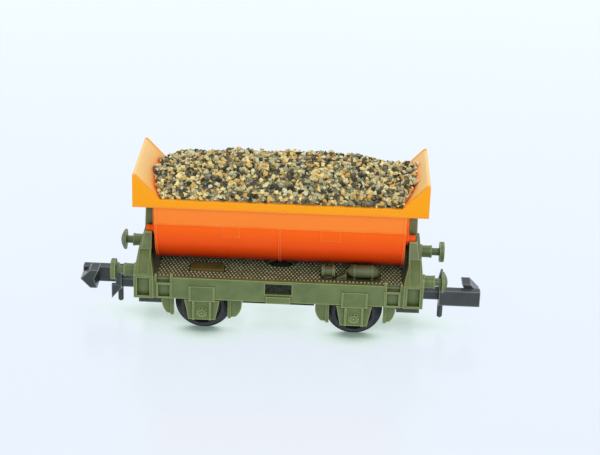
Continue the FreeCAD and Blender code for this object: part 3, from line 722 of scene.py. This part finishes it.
def rest_height(x, z, size):
    """Height of a stone at X: in the heap, or on the end wall; None where it's left out."""
    wall = wall_height(x) + size * WALL_CLEARANCE
    if z >= wall:
        return z
    if z < wall - WALL_CATCH or abs(x) > WALL_END or rng.random() < WALL_GAPS:
        return None
    return wall


def strewn(column, row, row_y, layer):
    """Centre and size of the stone strewn at one place, or None where it's left out."""
    x = (column + 0.5 * (row % 2) + rng.uniform(-STREW_X, STREW_X)) * STONE_PITCH
    y = row_y + rng.uniform(-STREW_Y, STREW_Y)
    size = rng.choice(STONE_RADII) * LAYER_SCALE[layer]
    edge = HEAP_HALF_Y + SIDE_SLACK - size * SIDE_INSET
    y = max(min(y, edge), -edge)
    slope = (heap_height(x, y + PROBE) - heap_height(x, y - PROBE)) / (2 * PROBE)
    level = FIRST_LEVEL + layer * LEVEL_STEP + rng.uniform(*LEVEL_SPREAD)
    lift = level / math.hypot(1, slope)
    z = rest_height(x, heap_height(x, y) + lift, size)
    if z is None:
        return None
    return x, max(min(y - lift * slope, SIDE_LIMIT), -SIDE_LIMIT), z, size


def add_stone(place, shapes, verts, faces, tones):
    """Adds a stone of a random shape, turn and tone."""
    x, y, z, size = place
    turn = Matrix.Rotation(rng.uniform(0, FULL_TURN), 3, "Z")
    turn = turn @ Matrix.Rotation(rng.uniform(-TILT, TILT), 3, "X")
    turn = turn @ Matrix.Rotation(rng.uniform(-TILT, TILT), 3, "Y")
    points, sides = shapes[rng.randrange(len(shapes))]
    tones += [rng.random()] * len(points)
    base = len(verts)
    spots = [turn @ (point * size) for point in points]
    verts += [(x + spot.x, y + spot.y, z + spot.z) for spot in spots]
    faces += [[base + k for k in side] for side in sides]


def make_stones():
    """Loose stones over the bed, in three kinds of rock."""
    shapes = stone_shapes(STONE_SHAPES)
    kinds = {name: ([], [], []) for name in STONES}
    reach = int(CROWN_REACH_X * STREW_LENGTH / STONE_PITCH)
    for layer, gap in enumerate(LAYER_GAPS):
        for row, row_y in enumerate(heap_rows(STONE_PITCH)):
            for column in range(-reach, reach + 1):
                if rng.random() < gap:
                    continue
                place = strewn(column, row, row_y, layer)
                if place:
                    kind = rng.choices(tuple(STONES), KIND_SHARES)[0]
                    add_stone(place, shapes, *kinds[kind])
    for name, (verts, faces, tones) in kinds.items():
        look = STONES[name]
        new_piece("gravel_" + name, verts, faces, look, "tub_body", tones=tones)


make_bed()
make_stones()


# ---- Floor, light and camera --------------------------------------------------------

FLOOR_RADIUS_M = 3.0

# The camera: its place in millimetres, its angles in degrees and its lens in millimetres
CAMERA_PLACE = (7.19, -219.99, 111.48)
CAMERA_AZIMUTH = 1.157
CAMERA_ELEVATION = 23.625
CAMERA_ROLL = 1.891
CAMERA_LENS = 95.886


def make_floor():
    """Pale glossy table lit mostly by its own even glow, with a painted shadow darkening it close to the
    wagon.
    """
    mesh = bpy.data.meshes.new("floor")
    form = bmesh.new()
    bmesh.ops.create_circle(form, cap_ends=True, radius=FLOOR_RADIUS_M, segments=96)
    form.to_mesh(mesh)
    form.free()
    floor = bpy.data.objects.new("floor", mesh)
    bpy.context.scene.collection.objects.link(floor)
    floor.location.z = cad_bounds[0][2]
    surface = Surface("floor_white", 0.22, Specular_IOR_Level=0.3, Emission_Strength=0.9)
    cloud = surface.noise(60.0)
    surface.colour(surface.ramp(cloud, [(0.3, (0.045, 0.055, 0.05, 1)), (0.7, (0.05, 0.06, 0.055, 1))]))
    # Painted shadow: the glow is darkened close to the wagon by ambient occlusion.
    painted_shadow = surface.spread(surface.crevices(7.0, 16), 0.3, 0.84, 0.0, 1.0)
    stops = [
        (0.0, linear(118, 136, 128)),
        (0.35, linear(190, 208, 198)),
        (0.65, linear(230, 246, 242)),
        (1.0, linear(234, 242, 253)),
    ]
    surface.link(surface.ramp(painted_shadow, stops), surface.shader.inputs["Emission Color"])
    mesh.materials.append(surface.mat)


def make_light():
    """Even sky, a broad lamp from above and a little behind, and a soft one in front."""
    scene = bpy.context.scene
    scene.view_settings.view_transform = "Standard"
    world = bpy.data.worlds.new("studio")
    world.use_nodes = True
    background = world.node_tree.nodes["Background"]
    background.inputs["Color"].default_value = (0.86, 0.91, 1.0, 1)
    background.inputs["Strength"].default_value = 0.72
    scene.world = world
    key = bpy.data.lights.new("key", "SUN")
    key.energy = 1.12
    key.angle = math.radians(50)
    lamp = bpy.data.objects.new("key", key)
    lamp.rotation_euler = Vector((0.0, 0.4, 1.0)).to_track_quat("Z", "Y").to_euler()
    scene.collection.objects.link(lamp)
    fill = bpy.data.lights.new("fill", "AREA")
    fill.energy = 1.3
    fill.size = 0.35
    front = bpy.data.objects.new("fill", fill)
    front.location = (0.12, -0.5, 0.33)
    front.rotation_euler = front.location.to_track_quat("Z", "Y").to_euler()
    scene.collection.objects.link(front)


def make_camera():
    """Camera on the front side, a little above and slightly rolled."""
    angles = (CAMERA_AZIMUTH, CAMERA_ELEVATION, CAMERA_ROLL)
    azimuth, elevation, roll = (math.radians(angle) for angle in angles)
    back = Vector(
        (
            math.sin(azimuth) * math.cos(elevation),
            -math.cos(azimuth) * math.cos(elevation),
            math.sin(elevation),
        )
    )
    right = Vector((0, 0, 1)).cross(back).normalized()
    up = back.cross(right)
    across = right * math.cos(roll) + up * math.sin(roll)
    upward = up * math.cos(roll) - right * math.sin(roll)
    data = bpy.data.cameras.new("camera")
    data.sensor_width = 36.0
    data.lens = CAMERA_LENS
    data.clip_start = 0.01
    data.clip_end = 10.0
    camera = bpy.data.objects.new("camera", data)
    matrix = Matrix((across, upward, back)).transposed().to_4x4()
    matrix.translation = Vector(CAMERA_PLACE) * MM
    camera.matrix_world = matrix
    bpy.context.scene.collection.objects.link(camera)
    bpy.context.scene.camera = camera


make_floor()
make_light()
make_camera()
